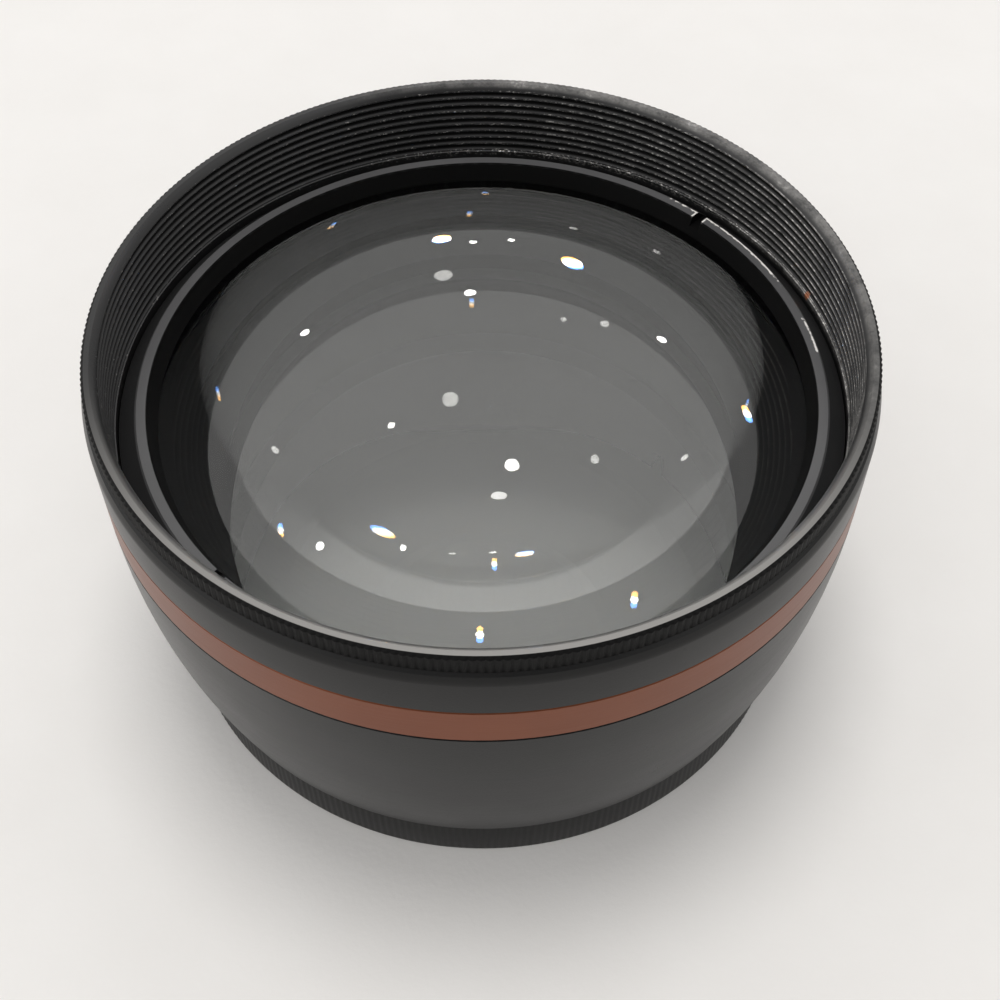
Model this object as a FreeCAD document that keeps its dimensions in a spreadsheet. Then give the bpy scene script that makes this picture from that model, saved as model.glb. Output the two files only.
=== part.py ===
"""A screw-on teleconverter lens: a turned barrel with a cemented glass group at each end.

Lengths are in millimetres. The origin is at the centre of the foot that the lens stands on, and +Z runs
along the optical axis, out of the big front glass.
"""
import FreeCAD, Part
import math
import os
import Sketcher

# Sizes that can be set by themselves. Everything else in the model follows from them.
SIZES = {
    # The four lengths that add up to the height
    "band_height": 4.55,
    "barrel_length": 21.15,
    "accent_width": 3.9,
    "front_length": 6.5,
    # Front thread, 62 mm across with a pitch of 0.75 mm, and the knurled lip round it
    "thread_radius": 31.0,
    "thread_depth": 0.4,
    "thread_pitch": 0.75,
    "groove_count": 9,
    "groove_mouth": 0.6,
    "first_groove": 0.98,
    "thread_runout": 0.5,
    "rim_wall": 0.9,
    "rim_bevel": 0.5,
    "rim_chamfer": 0.2,
    "lip_height": 1.9,
    "wall_swell": 0.4,
    "swell_height": 1.0,
    # Accent ring, and the joint between the front barrel and the main barrel
    "accent_depth": 0.8,
    "edge_break": 0.12,
    "joint_wall": 1.5,
    "joint_depth": 4.0,
    "spigot_length": 5.7,
    "nose_wall": 1.0,
    "joint_gap": 0.03,
    "shoulder_gap": 0.15,
    # Front glass and its seat
    "ring_bore_step": 0.1,
    "ring_gap": 0.1,
    "ring_land": 1.6,
    "lens_gap": 0.05,
    "seat_height": 1.0,
    "seat_width": 2.0,
    "front_curve": 57.0,
    "front_cement_curve": 100.0,
    "front_back_curve": 160.0,
    "flint_centre": 2.26,
    "crown_edge": 1.55,
    "glass_rim": 1.55,
    # Front retaining ring
    "ring_rise": 1.65,
    "ring_bevel": 0.7,
    "ring_face": 0.8,
    "ring_slope": 1.5,
    "ring_lip": 0.2,
    "ring_skirt": 1.35,
    "ring_float": 0.1,
    "glass_gap": 0.02,
    "notch_width": 1.0,
    "notch_depth": 0.9,
    "notch_angle": 44.6,
    # Mount ring: 52 mm thread in the foot, with the knurled band round it
    "mount_thread_radius": 26.0,
    "mount_thread_depth": 0.4,
    "mount_pitch": 0.75,
    "mount_groove_count": 3,
    "mount_bevel": 0.3,
    "mount_depth": 2.6,
    "flange_thickness": 1.0,
    "band_wall": 2.8,
    "band_chamfer": 0.25,
    "register_wall": 1.3,
    # Main barrel
    "foot_overhang": 0.3,
    "barrel_bow": 71.5,
    "chamber_wall": 0.8,
    "chamber_step": 1.55,
    "barrel_flange": 3.4,
    # Countersunk screws through the mount ring
    "screw_count": 4,
    "screw_edge": 1.6,
    "screw_radius": 0.8,
    "screw_head": 1.4,
    "screw_length": 3.4,
    "screw_gap": 0.05,
    "slot_width": 0.4,
    "slot_depth": 0.3,
    # Rear cell and its glass
    "cell_clearance": 0.4,
    "cell_recess": 0.4,
    "cell_wall": 2.45,
    "cell_lip": 0.9,
    "collar_width": 3.5,
    "collar_height": 1.0,
    "shim_thickness": 0.2,
    "rear_front_curve": 60.0,
    "rear_cement_curve": 90.0,
    "rear_back_curve": 120.0,
    "negative_centre": 1.6,
    "positive_centre": 2.2,
    "rear_glass_rim": 0.9,
    "rear_ring_height": 1.25,
    "rear_ring_thread": 0.7,
    "rear_ring_rim": 1.3,
    # Field stop and baffle tube
    "stop_thickness": 0.3,
    "stop_reach": 0.6,
    "tube_wall": 1.8,
    "tube_ledge": 1.0,
    "tube_collar": 1.6,
    "tube_gap": 0.1,
}

doc = FreeCAD.newDocument("teleconverter")
sheet = doc.addObject("Spreadsheet::Sheet", "Sizes")
for row, (alias, number) in enumerate(SIZES.items(), start=1):
    sheet.set(f"A{row}", alias)
    sheet.set(f"B{row}", str(number))
    sheet.setAlias(f"B{row}", alias)
doc.recompute()


class Size:
    """A length that carries its number and the sheet expression that it comes from."""

    def __init__(self, number, text):
        self.number = number
        self.text = text

    def __add__(self, other):
        other = as_size(other)
        return Size(self.number + other.number, f"({self.text} + {other.text})")

    def __sub__(self, other):
        other = as_size(other)
        return Size(self.number - other.number, f"({self.text} - {other.text})")

    def __mul__(self, other):
        other = as_size(other)
        return Size(self.number * other.number, f"({self.text} * {other.text})")

    def __truediv__(self, other):
        other = as_size(other)
        return Size(self.number / other.number, f"({self.text} / {other.text})")

    def __neg__(self):
        return Size(-self.number, f"(0 - {self.text})")


def as_size(value):
    """A Size as it is, and a plain number as a Size."""
    if isinstance(value, Size):
        return value
    return Size(value, repr(value))


class Sheet:
    """Reads a driving size by its alias, as in dim.rim_wall."""

    def __getattr__(self, alias):
        return Size(SIZES[alias], "Sizes." + alias)


dim = Sheet()
AXIS = Size(0.0, "0")
STEPS = 3


def sag(curve, reach):
    """How far a spherical surface of radius curve falls back at the radius reach."""
    depth = curve.number - math.sqrt(curve.number ** 2 - reach.number ** 2)
    return Size(depth, f"({curve.text} - sqrt({curve.text}^2 - {reach.text}^2))")


# Helpers that draw sections and turn them into features


class Arc:
    """Marks the side of a section that runs to the next corner as an arc.

    The arc bows away from the axis side of its chord, or towards it when hollow is True.
    """

    def __init__(self, radius, hollow=False):
        self.radius = radius
        self.hollow = hollow


def origin_plane(body, role):
    """The body's own origin plane with this role."""
    for feature in body.Origin.OriginFeatures:
        if feature.Role == role:
            return feature
    raise ValueError(f"{body.Name} has no {role}")


def arc_centre(start, end, arc):
    """Centre of the arc from start to end, on the side that its bow asks for."""
    chord = end - start
    middle = (start + end) * 0.5
    rise = math.sqrt(arc.radius.number ** 2 - (chord.Length / 2) ** 2)
    normal = FreeCAD.Vector(-chord.y, chord.x, 0).normalize()
    if arc.hollow:
        normal = normal * -1
    return middle + normal * rise


def arc_edge(start, end, arc):
    """The arc as an edge that runs counter-clockwise, and whether that swaps its ends."""
    centre = arc_centre(start, end, arc)
    first = math.atan2(start.y - centre.y, start.x - centre.x)
    last = math.atan2(end.y - centre.y, end.x - centre.x)
    circle = Part.Circle(centre, FreeCAD.Vector(0, 0, 1), arc.radius.number)
    sweep = (last - first) % (2 * math.pi)
    if sweep <= math.pi:
        return Part.ArcOfCircle(circle, first, last), False
    return Part.ArcOfCircle(circle, last, first), True


def bind(sketch, kind, geometry, point, value):
    """Holds one coordinate of a point at a sheet expression."""
    axis = -2 if kind == "DistanceX" else -1
    if value is AXIS:
        sketch.addConstraint(Sketcher.Constraint("PointOnObject", geometry, point, axis))
        return
    index = sketch.addConstraint(Sketcher.Constraint(kind, -1, 1, geometry, point, value.number))
    sketch.setExpression(f"Constraints[{index}]", value.text)


def section(body, name, corners, role="XZ_Plane"):
    """A closed sketch through the corners, each a pair of sizes with an optional Arc to the next."""
    sketch = body.newObject("Sketcher::SketchObject", name)
    sketch.AttachmentSupport = [(origin_plane(body, role), "")]
    sketch.MapMode = "FlatFace"
    spots = [FreeCAD.Vector(corner[0].number, corner[1].number, 0) for corner in corners]
    starts = []
    ends = []
    for index, corner in enumerate(corners):
        start = spots[index]
        end = spots[(index + 1) % len(spots)]
        if len(corner) == 3:
            edge, swapped = arc_edge(start, end, corner[2])
            geometry = sketch.addGeometry(edge, False)
            radius = sketch.addConstraint(Sketcher.Constraint("Radius", geometry, corner[2].radius.number))
            sketch.setExpression(f"Constraints[{radius}]", corner[2].radius.text)
        else:
            swapped = False
            geometry = sketch.addGeometry(Part.LineSegment(start, end), False)
        starts.append((geometry, 2 if swapped else 1))
        ends.append((geometry, 1 if swapped else 2))
    for index, corner in enumerate(corners):
        geometry, point = starts[index]
        sketch.addConstraint(Sketcher.Constraint("Coincident", *ends[index - 1], geometry, point))
        bind(sketch, "DistanceX", geometry, point, corner[0])
        bind(sketch, "DistanceY", geometry, point, corner[1])
    return sketch


def turned(name, corners):
    """A piece turned from its half section, as pairs of radius and height."""
    body = doc.addObject("PartDesign::Body", name)
    profile = section(body, name + "_section", corners)
    turn = body.newObject("PartDesign::Revolution", name + "_turn")
    turn.Profile = profile
    turn.ReferenceAxis = (profile, ["V_Axis"])
    turn.Angle = 360
    doc.recompute()
    return body


def volume_drop(body, before):
    """Stops the script if a cut took nothing away."""
    if not body.Shape.Volume < before - 1e-6:
        raise RuntimeError(f"a cut in {body.Name} took nothing away")


def ring_grooves(body, name, crest, root, centre, mouth, pitch, count):
    """V grooves round the bore, one pitch apart, up from the height centre."""
    before = body.Shape.Volume
    inside = crest - mouth / 2
    half = mouth / 2 + (crest - inside) * (mouth / 2) / (root - crest)
    corners = [(inside, centre - half), (root, centre), (inside, centre + half)]
    profile = section(body, name + "_section", corners)
    groove = body.newObject("PartDesign::Groove", name)
    groove.Profile = profile
    groove.ReferenceAxis = (profile, ["V_Axis"])
    groove.Angle = 360
    doc.recompute()
    pattern = body.newObject("PartDesign::LinearPattern", name + "_row")
    pattern.Originals = [groove]
    pattern.Direction = (profile, ["V_Axis"])
    pattern.setExpression("Length", (pitch * (count - 1)).text)
    pattern.setExpression("Occurrences", count.text)
    body.Tip = pattern
    doc.recompute()
    volume_drop(body, before)


def around(body, feature, count):
    """Repeats a feature evenly round the optical axis."""
    pattern = body.newObject("PartDesign::PolarPattern", feature.Name + "_round")
    pattern.Originals = [feature]
    pattern.Axis = (origin_plane(body, "Z_Axis"), [""])
    pattern.Angle = 360
    pattern.setExpression("Occurrences", as_size(count).text)
    body.Tip = pattern
    doc.recompute()


def spanner_notches(body, name, inner, outer, face, depth, upward):
    """Two opposite notches across a ring's face for a pin spanner."""
    before = body.Shape.Volume
    half = dim.notch_width / 2
    corners = [(inner, -half), (outer, -half), (outer, half), (inner, half)]
    slot = section(body, name + "_section", corners, "XY_Plane")
    slot.setExpression("AttachmentOffset.Base.z", face.text)
    slot.setExpression("AttachmentOffset.Rotation.Angle", dim.notch_angle.text)
    pocket = body.newObject("PartDesign::Pocket", name)
    pocket.Profile = slot
    pocket.Reversed = upward
    pocket.setExpression("Length", depth.text)
    doc.recompute()
    around(body, pocket, 2)
    volume_drop(body, before)


# Radii and heights that more than one piece shares
crest_radius = dim.thread_radius - dim.thread_depth
rim_radius = dim.thread_radius + dim.rim_wall
wall_radius = rim_radius + dim.wall_swell
accent_seat_radius = wall_radius - dim.accent_depth
spigot_radius = wall_radius - dim.joint_wall
ring_bore_radius = crest_radius - dim.ring_bore_step
ring_radius = ring_bore_radius - dim.ring_gap
front_lens_radius = ring_radius - dim.ring_land
front_clear_radius = front_lens_radius - dim.glass_rim
nose_radius = front_lens_radius + dim.lens_gap + dim.nose_wall
chamber_mouth_radius = nose_radius - dim.chamber_step

mount_crest_radius = dim.mount_thread_radius - dim.mount_thread_depth
base_radius = dim.mount_thread_radius + dim.band_wall
foot_radius = base_radius + dim.foot_overhang
register_radius = base_radius - dim.register_wall
screw_circle_radius = mount_crest_radius - dim.screw_edge
mount_flange_radius = screw_circle_radius - dim.screw_edge
cell_radius = mount_flange_radius - dim.cell_clearance
collar_radius = cell_radius + dim.collar_width
rear_lens_radius = cell_radius - dim.cell_wall
rear_clear_radius = rear_lens_radius - dim.rear_glass_rim
rear_ring_radius = rear_lens_radius + dim.rear_ring_thread
rear_ring_bore = rear_lens_radius - dim.rear_ring_rim
chamber_radius = foot_radius - dim.chamber_wall
stop_bore_radius = rear_clear_radius - dim.stop_reach

barrel_top = dim.band_height + dim.barrel_length
accent_top = barrel_top + dim.accent_width
rim_top = accent_top + dim.front_length
joint_end = barrel_top - dim.joint_depth
spigot_end = barrel_top - dim.spigot_length
glass_seat = spigot_end + dim.seat_height
seat_bore_radius = front_lens_radius - dim.seat_width
thread_end = rim_top - dim.first_groove - dim.thread_pitch * (dim.groove_count - 1) - dim.thread_runout

front_back_vertex = glass_seat - sag(dim.front_back_curve, seat_bore_radius)
front_cement_vertex = front_back_vertex + dim.flint_centre
front_cement_edge = front_cement_vertex + sag(dim.front_cement_curve, front_lens_radius)
front_edge = front_cement_edge + dim.crown_edge
front_vertex = front_edge + sag(dim.front_curve, front_lens_radius)
glass_contact = front_vertex - sag(dim.front_curve, front_clear_radius)
ring_top = glass_contact + dim.ring_rise
ring_foot = glass_contact - dim.ring_skirt
ring_floor = ring_foot - dim.ring_float

barrel_rear = dim.mount_depth + dim.flange_thickness
flange_top = barrel_rear + dim.barrel_flange
collar_foot = flange_top + dim.shim_thickness
collar_top = collar_foot + dim.collar_height
cell_rear = dim.mount_depth + dim.cell_recess
rear_glass_seat = cell_rear + dim.rear_ring_height
back_vertex = rear_glass_seat + sag(dim.rear_back_curve, rear_ring_bore)
rear_cement_vertex = back_vertex + dim.positive_centre
rear_front_vertex = rear_cement_vertex + dim.negative_centre
cell_stop = rear_front_vertex + sag(dim.rear_front_curve, rear_clear_radius)
cell_top = cell_stop + dim.cell_lip
washer_top = cell_top + dim.stop_thickness
tube_ledge_height = washer_top + dim.glass_gap


# The outer casing


def make_front_barrel():
    """Knurled lip, ribbed and threaded mouth, bore for the front glass and a spigot below."""
    lens_bore_radius = front_lens_radius + dim.lens_gap
    lip_foot = rim_top - dim.lip_height
    body = turned("front_barrel", [
        (seat_bore_radius, spigot_end),
        (nose_radius, spigot_end),
        (nose_radius, joint_end),
        (spigot_radius, joint_end),
        (spigot_radius, barrel_top),
        (accent_seat_radius, barrel_top),
        (accent_seat_radius, accent_top),
        (wall_radius - dim.edge_break, accent_top),
        (wall_radius, accent_top + dim.edge_break),
        (wall_radius, lip_foot - dim.swell_height),
        (rim_radius, lip_foot),
        (rim_radius, rim_top - dim.rim_chamfer),
        (rim_radius - dim.rim_chamfer, rim_top),
        (crest_radius + dim.rim_bevel, rim_top),
        (crest_radius, rim_top - dim.rim_bevel),
        (crest_radius, thread_end),
        (ring_bore_radius, thread_end),
        (ring_bore_radius, ring_floor),
        (lens_bore_radius, ring_floor),
        (lens_bore_radius, glass_seat),
        (seat_bore_radius, glass_seat),
    ])
    lowest_groove = rim_top - dim.first_groove - dim.thread_pitch * (dim.groove_count - 1)
    ring_grooves(body, "front_thread", crest_radius, dim.thread_radius, lowest_groove,
                 dim.groove_mouth, dim.thread_pitch, dim.groove_count)
    return body


def make_accent_ring():
    """The coloured ring, clamped between the shoulder of the front barrel and the main barrel."""
    inner = accent_seat_radius + dim.joint_gap
    return turned("accent_ring", [
        (inner, barrel_top),
        (wall_radius - dim.edge_break, barrel_top),
        (wall_radius, barrel_top + dim.edge_break),
        (wall_radius, accent_top - dim.edge_break),
        (wall_radius - dim.edge_break, accent_top),
        (inner, accent_top),
    ])


def screw_section(grow, top):
    """Half section of a countersunk screw on its own axis: the screw itself, or its hole when grown."""
    head_radius = dim.screw_head + grow
    shank_radius = dim.screw_radius + grow
    cone_top = dim.mount_depth + dim.screw_head - dim.screw_radius
    return [
        (screw_circle_radius, dim.mount_depth),
        (screw_circle_radius + head_radius, dim.mount_depth),
        (screw_circle_radius + shank_radius, cone_top),
        (screw_circle_radius + shank_radius, top),
        (screw_circle_radius, top),
    ]


def screw_holes(body, name, top):
    """The screws' holes, cut on the screws' own circle with their clearance."""
    before = body.Shape.Volume
    profile = section(body, name + "_section", screw_section(dim.screw_gap, top))
    hole = body.newObject("PartDesign::Groove", name)
    hole.Profile = profile
    hole.ReferenceAxis = (profile, ["Edge5"])
    hole.Angle = 360
    doc.recompute()
    around(body, hole, dim.screw_count)
    volume_drop(body, before)


def make_main_barrel():
    """Outer casing: bowed outside, chamber inside, and a flange that carries the rear cell."""
    bore_radius = spigot_radius + dim.joint_gap
    body = turned("main_barrel", [
        (cell_radius + dim.lens_gap, barrel_rear),
        (register_radius, barrel_rear),
        (register_radius, dim.band_height),
        (foot_radius - dim.band_chamfer, dim.band_height),
        (foot_radius, dim.band_height + dim.band_chamfer, Arc(dim.barrel_bow)),
        (wall_radius, barrel_top - dim.edge_break),
        (wall_radius - dim.edge_break, barrel_top),
        (bore_radius, barrel_top),
        (bore_radius, joint_end - dim.shoulder_gap),
        (nose_radius + dim.joint_gap, joint_end - dim.shoulder_gap),
        (nose_radius + dim.joint_gap, spigot_end - dim.shoulder_gap),
        (chamber_mouth_radius, spigot_end - dim.shoulder_gap),
        (chamber_mouth_radius, spigot_end - dim.tube_collar - dim.shoulder_gap),
        (chamber_radius, flange_top),
        (cell_radius + dim.lens_gap, flange_top),
    ])
    screw_holes(body, "tapped_holes", dim.mount_depth + dim.screw_length + dim.shoulder_gap)
    return body


def make_mount_ring():
    """Foot of the lens: knurled band outside, thread inside, flange with countersunk holes."""
    skirt_radius = register_radius + dim.lens_gap
    body = turned("mount_ring", [
        (mount_flange_radius, dim.mount_depth),
        (mount_crest_radius, dim.mount_depth),
        (mount_crest_radius, dim.mount_bevel),
        (mount_crest_radius + dim.mount_bevel, AXIS),
        (base_radius - dim.band_chamfer, AXIS),
        (base_radius, dim.band_chamfer),
        (base_radius, dim.band_height - dim.band_chamfer),
        (base_radius - dim.band_chamfer, dim.band_height),
        (skirt_radius, dim.band_height),
        (skirt_radius, barrel_rear),
        (mount_flange_radius, barrel_rear),
    ])
    ring_grooves(body, "mount_thread", mount_crest_radius, dim.mount_thread_radius, dim.mount_pitch,
                 dim.groove_mouth, dim.mount_pitch, dim.mount_groove_count)
    screw_holes(body, "countersinks", barrel_rear + dim.shoulder_gap)
    return body


def make_mount_ring_screws():
    """Four slotted countersunk screws, flush with the flange of the mount ring."""
    body = doc.addObject("PartDesign::Body", "mount_ring_screws")
    body.AllowCompound = True
    top = dim.mount_depth + dim.screw_length
    profile = section(body, "screw_half", screw_section(AXIS, top))
    screw = body.newObject("PartDesign::Revolution", "screw")
    screw.Profile = profile
    screw.ReferenceAxis = (profile, ["Edge5"])
    screw.Angle = 360
    doc.recompute()
    reach = dim.screw_head + dim.slot_width
    half = dim.slot_width / 2
    slot_sketch = section(body, "slot_outline", [
        (screw_circle_radius - reach, -half),
        (screw_circle_radius + reach, -half),
        (screw_circle_radius + reach, half),
        (screw_circle_radius - reach, half),
    ], "XY_Plane")
    slot_sketch.setExpression("AttachmentOffset.Base.z", dim.mount_depth.text)
    slot = body.newObject("PartDesign::Pocket", "slot")
    slot.Profile = slot_sketch
    slot.Reversed = True
    slot.setExpression("Length", dim.slot_depth.text)
    doc.recompute()
    pattern = body.newObject("PartDesign::PolarPattern", "screws_round")
    pattern.Originals = [screw, slot]
    pattern.Axis = (origin_plane(body, "Z_Axis"), [""])
    pattern.Angle = 360
    pattern.setExpression("Occurrences", dim.screw_count.text)
    body.Tip = pattern
    doc.recompute()
    return body


# The front glass and what holds it


def make_front_crown():
    """Big convex front element."""
    return turned("front_crown", [
        (AXIS, front_cement_vertex, Arc(dim.front_cement_curve)),
        (front_lens_radius, front_cement_edge),
        (front_lens_radius, front_edge, Arc(dim.front_curve)),
        (AXIS, front_vertex),
    ])


def make_front_flint():
    """Element cemented behind the front crown, with a bulging back and a flat rim to seat on."""
    return turned("front_flint", [
        (AXIS, front_back_vertex, Arc(dim.front_back_curve)),
        (seat_bore_radius, glass_seat),
        (front_lens_radius, glass_seat),
        (front_lens_radius, front_cement_edge, Arc(dim.front_cement_curve, hollow=True)),
        (AXIS, front_cement_vertex),
    ])


def make_front_retaining_ring():
    """Threaded ring over the edge of the front glass, sloped outside, with two spanner notches."""
    under_curve = dim.front_curve + dim.glass_gap
    under_centre = front_vertex - dim.front_curve
    skirt_radius = front_lens_radius + dim.ring_gap
    face_radius = front_clear_radius + dim.ring_bevel

    def under_height(radius):
        return under_centre + under_curve - sag(under_curve, radius)

    body = turned("front_retaining_ring", [
        (ring_radius, ring_foot),
        (ring_radius, ring_top - dim.ring_slope),
        (face_radius + dim.ring_face, ring_top),
        (face_radius, ring_top),
        (face_radius, ring_top - dim.ring_lip),
        (front_clear_radius, under_height(front_clear_radius), Arc(under_curve, hollow=True)),
        (skirt_radius, under_height(skirt_radius)),
        (skirt_radius, ring_foot),
    ])
    spanner_notches(body, "front_notch", front_clear_radius, ring_radius + dim.ring_gap, ring_top,
                    dim.notch_depth, False)
    return body


# The rear group and the light trap between the groups


def make_rear_cell():
    """Cell that holds the rear pair: front lip, glass bore, threaded mouth and a collar to seat on."""
    lens_bore = rear_lens_radius + dim.lens_gap
    ring_bore = rear_ring_radius + dim.lens_gap
    step = rear_glass_seat + dim.lens_gap
    return turned("rear_cell", [
        (ring_bore, cell_rear),
        (cell_radius, cell_rear),
        (cell_radius, collar_foot),
        (collar_radius, collar_foot),
        (collar_radius, collar_top),
        (cell_radius, collar_top),
        (cell_radius, cell_top),
        (rear_clear_radius, cell_top),
        (rear_clear_radius, cell_stop),
        (lens_bore, cell_stop),
        (lens_bore, step),
        (ring_bore, step),
    ])


def make_cell_shim():
    """Thin washer that sets the distance between the two groups."""
    inner = cell_radius + dim.ring_gap
    return turned("cell_shim", [
        (inner, flange_top),
        (collar_radius, flange_top),
        (collar_radius, collar_foot),
        (inner, collar_foot),
    ])


def make_rear_negative():
    """Element with both faces hollow, flat round its front rim where the cell's lip bears."""
    cement_edge = rear_cement_vertex - sag(dim.rear_cement_curve, rear_lens_radius)
    return turned("rear_negative", [
        (AXIS, rear_cement_vertex, Arc(dim.rear_cement_curve, hollow=True)),
        (rear_lens_radius, cement_edge),
        (rear_lens_radius, cell_stop),
        (rear_clear_radius, cell_stop, Arc(dim.rear_front_curve, hollow=True)),
        (AXIS, rear_front_vertex),
    ])


def make_rear_positive():
    """Meniscus cemented behind the rear negative, flat round its rim where the ring bears."""
    cement_edge = rear_cement_vertex - sag(dim.rear_cement_curve, rear_lens_radius)
    return turned("rear_positive", [
        (AXIS, back_vertex, Arc(dim.rear_back_curve, hollow=True)),
        (rear_ring_bore, rear_glass_seat),
        (rear_lens_radius, rear_glass_seat),
        (rear_lens_radius, cement_edge, Arc(dim.rear_cement_curve)),
        (AXIS, rear_cement_vertex),
    ])


def make_rear_retaining_ring():
    """Threaded ring that holds the rear pair in its cell, with two spanner notches."""
    body = turned("rear_retaining_ring", [
        (rear_ring_bore, cell_rear),
        (rear_ring_radius, cell_rear),
        (rear_ring_radius, rear_glass_seat),
        (rear_ring_bore, rear_glass_seat),
    ])
    spanner_notches(body, "rear_notch", rear_ring_bore - dim.ring_gap, rear_ring_radius + dim.ring_gap,
                    cell_rear, dim.notch_depth / 2, True)
    return body


def make_stop_washer():
    """Field stop that lies on the rear cell."""
    return turned("stop_washer", [
        (stop_bore_radius, cell_top),
        (cell_radius, cell_top),
        (cell_radius, washer_top),
        (stop_bore_radius, washer_top),
    ])


def make_baffle_tube():
    """Stepped light trap that fills the chamber from the cell's collar to the front barrel."""
    inner = cell_radius + dim.ring_gap * 2
    outer = inner + dim.tube_wall
    top_radius = chamber_mouth_radius - dim.tube_gap
    mouth_radius = seat_bore_radius - dim.tube_gap * 4
    ledge_radius = stop_bore_radius + dim.tube_ledge
    rise = (spigot_end - tube_ledge_height) / STEPS
    run = (mouth_radius - ledge_radius) / (STEPS - 1)
    steps = []
    for step in range(STEPS):
        steps.append((ledge_radius + run * step, tube_ledge_height + rise * step))
        steps.append((ledge_radius + run * step, tube_ledge_height + rise * (step + 1)))
    return turned("baffle_tube", [
        (inner, collar_top),
        (outer, collar_top),
        (outer, tube_ledge_height - dim.tube_ledge),
        (top_radius, spigot_end - dim.tube_collar),
        (top_radius, spigot_end),
    ] + steps[::-1] + [
        (inner, tube_ledge_height),
    ])


PIECES = [
    make_front_barrel(),
    make_accent_ring(),
    make_main_barrel(),
    make_mount_ring(),
    make_mount_ring_screws(),
    make_front_crown(),
    make_front_flint(),
    make_front_retaining_ring(),
    make_rear_cell(),
    make_cell_shim(),
    make_rear_negative(),
    make_rear_positive(),
    make_rear_retaining_ring(),
    make_stop_washer(),
    make_baffle_tube(),
]

doc.recompute()
for thing in doc.Objects:
    if "Invalid" in thing.State or "Error" in thing.State:
        raise RuntimeError(f"{thing.Name} failed: {thing.State}")
for piece in PIECES:
    if piece.Shape.isNull() or not piece.Shape.isValid():
        raise RuntimeError(f"{piece.Name} has no valid shape")

os.makedirs("parts", exist_ok=True)
for piece in PIECES:
    piece.Label = piece.Name
    piece.Shape.exportStep(f"parts/{piece.Label}.step")
    box = piece.Shape.BoundBox
    print(f"{piece.Label}: {len(piece.Shape.Solids)} solid(s), {piece.Shape.Volume:.1f} mm3, "
          f"z {box.ZMin:.2f} to {box.ZMax:.2f}, radius {box.XMax:.2f}")
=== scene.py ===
# %% [markdown]
# # A screw-on teleconverter lens, dressed for a photograph
#
# The lens is a turned barrel with glass at both ends. Its solids come from the construction model, and
# this script gives each of them its surface: satin black anodising, a copper-orange ring, bare metal
# where handling has rubbed the edges, painted highlights, a painted reflection and painted shade on some
# edges and in grooves, and polished glass that shows what lies behind it. A few pieces are made again
# here, because they carry detail that is too fine for the solids: the knurled lip, the knurled foot and
# the smooth glass.
#
# Everything is in metres and in the model's own frame: the foot stands on z = 0 and +Z runs along the
# optical axis, out of the big front glass. Small sizes are written in millimetres and scaled by MM.

# %% Load the frame
import math
import random
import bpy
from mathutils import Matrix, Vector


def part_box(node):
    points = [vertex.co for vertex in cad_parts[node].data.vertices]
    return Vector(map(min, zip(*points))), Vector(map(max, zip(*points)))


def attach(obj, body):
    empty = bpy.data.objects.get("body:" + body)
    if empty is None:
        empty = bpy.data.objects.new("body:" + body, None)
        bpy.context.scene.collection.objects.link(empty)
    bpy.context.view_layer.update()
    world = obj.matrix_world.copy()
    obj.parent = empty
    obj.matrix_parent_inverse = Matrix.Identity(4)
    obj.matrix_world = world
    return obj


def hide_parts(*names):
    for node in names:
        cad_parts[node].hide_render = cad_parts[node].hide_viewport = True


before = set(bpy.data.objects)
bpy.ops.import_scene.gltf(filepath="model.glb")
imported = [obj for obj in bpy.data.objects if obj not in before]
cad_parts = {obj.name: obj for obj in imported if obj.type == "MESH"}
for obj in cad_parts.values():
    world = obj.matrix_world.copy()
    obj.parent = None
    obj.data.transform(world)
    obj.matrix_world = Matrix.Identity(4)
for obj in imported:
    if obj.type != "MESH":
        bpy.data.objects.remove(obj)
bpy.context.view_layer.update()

from types import SimpleNamespace

import bpy
from mathutils import Matrix, Vector

MM = 0.001
print("pieces in the frame:", sorted(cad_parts))

# %% [markdown]
# ## Sizes that come from the frame
#
# The dressed pieces have to fit the solids, so their main sizes are read from the solids' boxes and not
# written again: how wide each turned piece is, and the heights of its foot and top. What a box can't
# show, such as the depth of a thread, is added to them further down, in millimetres.

# %% Sizes from the frame
def measured(node):
    """Radius, foot height and top height of a turned solid, in millimetres."""
    low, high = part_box(node)
    radius, foot, top = (round(value / MM, 2) for value in (high.x, low.z, high.z))
    return SimpleNamespace(radius=radius, foot=foot, top=top)


barrel = measured("front_barrel")
ring = measured("front_retaining_ring")
crown = measured("front_crown")
flint = measured("front_flint")
accent = measured("accent_ring")
casing = measured("main_barrel")
mount = measured("mount_ring")
WALL, RIM_TOP = barrel.radius, barrel.top
GLASS = crown.radius
print("rim", WALL, "mm in radius and", RIM_TOP, "mm high; glass", GLASS, "mm in radius")

# %% [markdown]
# ## The camera
#
# The camera stands close in front of the lens and looks down at about 52 degrees. A moderate focal
# length from so near makes the near side of the rim larger than the far side. A camera looks along its
# own -Z, so its matrix is built from three directions: right, up and back.

# %% Camera
camera_data = bpy.data.cameras.new("camera")
camera_data.lens = 54
camera_data.sensor_width = 36
camera_data.clip_start = 0.005
camera_data.clip_end = 20
camera = bpy.data.objects.new("camera", camera_data)
bpy.context.collection.objects.link(camera)
bpy.context.scene.camera = camera

camera_place = Vector((0, -0.0856, 0.1220))
look_down = math.radians(51.9)
turn = math.radians(1.0)
roll = math.radians(0.1)
forward = Vector((
    math.sin(turn) * math.cos(look_down),
    math.cos(turn) * math.cos(look_down),
    -math.sin(look_down),
))
level_right = forward.cross(Vector((0, 0, 1))).normalized()
level_up = level_right.cross(forward)
right = level_right * math.cos(roll) + level_up * math.sin(roll)
up = level_up * math.cos(roll) - level_right * math.sin(roll)
axes = Matrix((right, up, -forward)).transposed().to_4x4()
camera.matrix_world = Matrix.Translation(camera_place) @ axes
print("the camera looks down", round(math.degrees(look_down), 1), "degrees")

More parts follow.
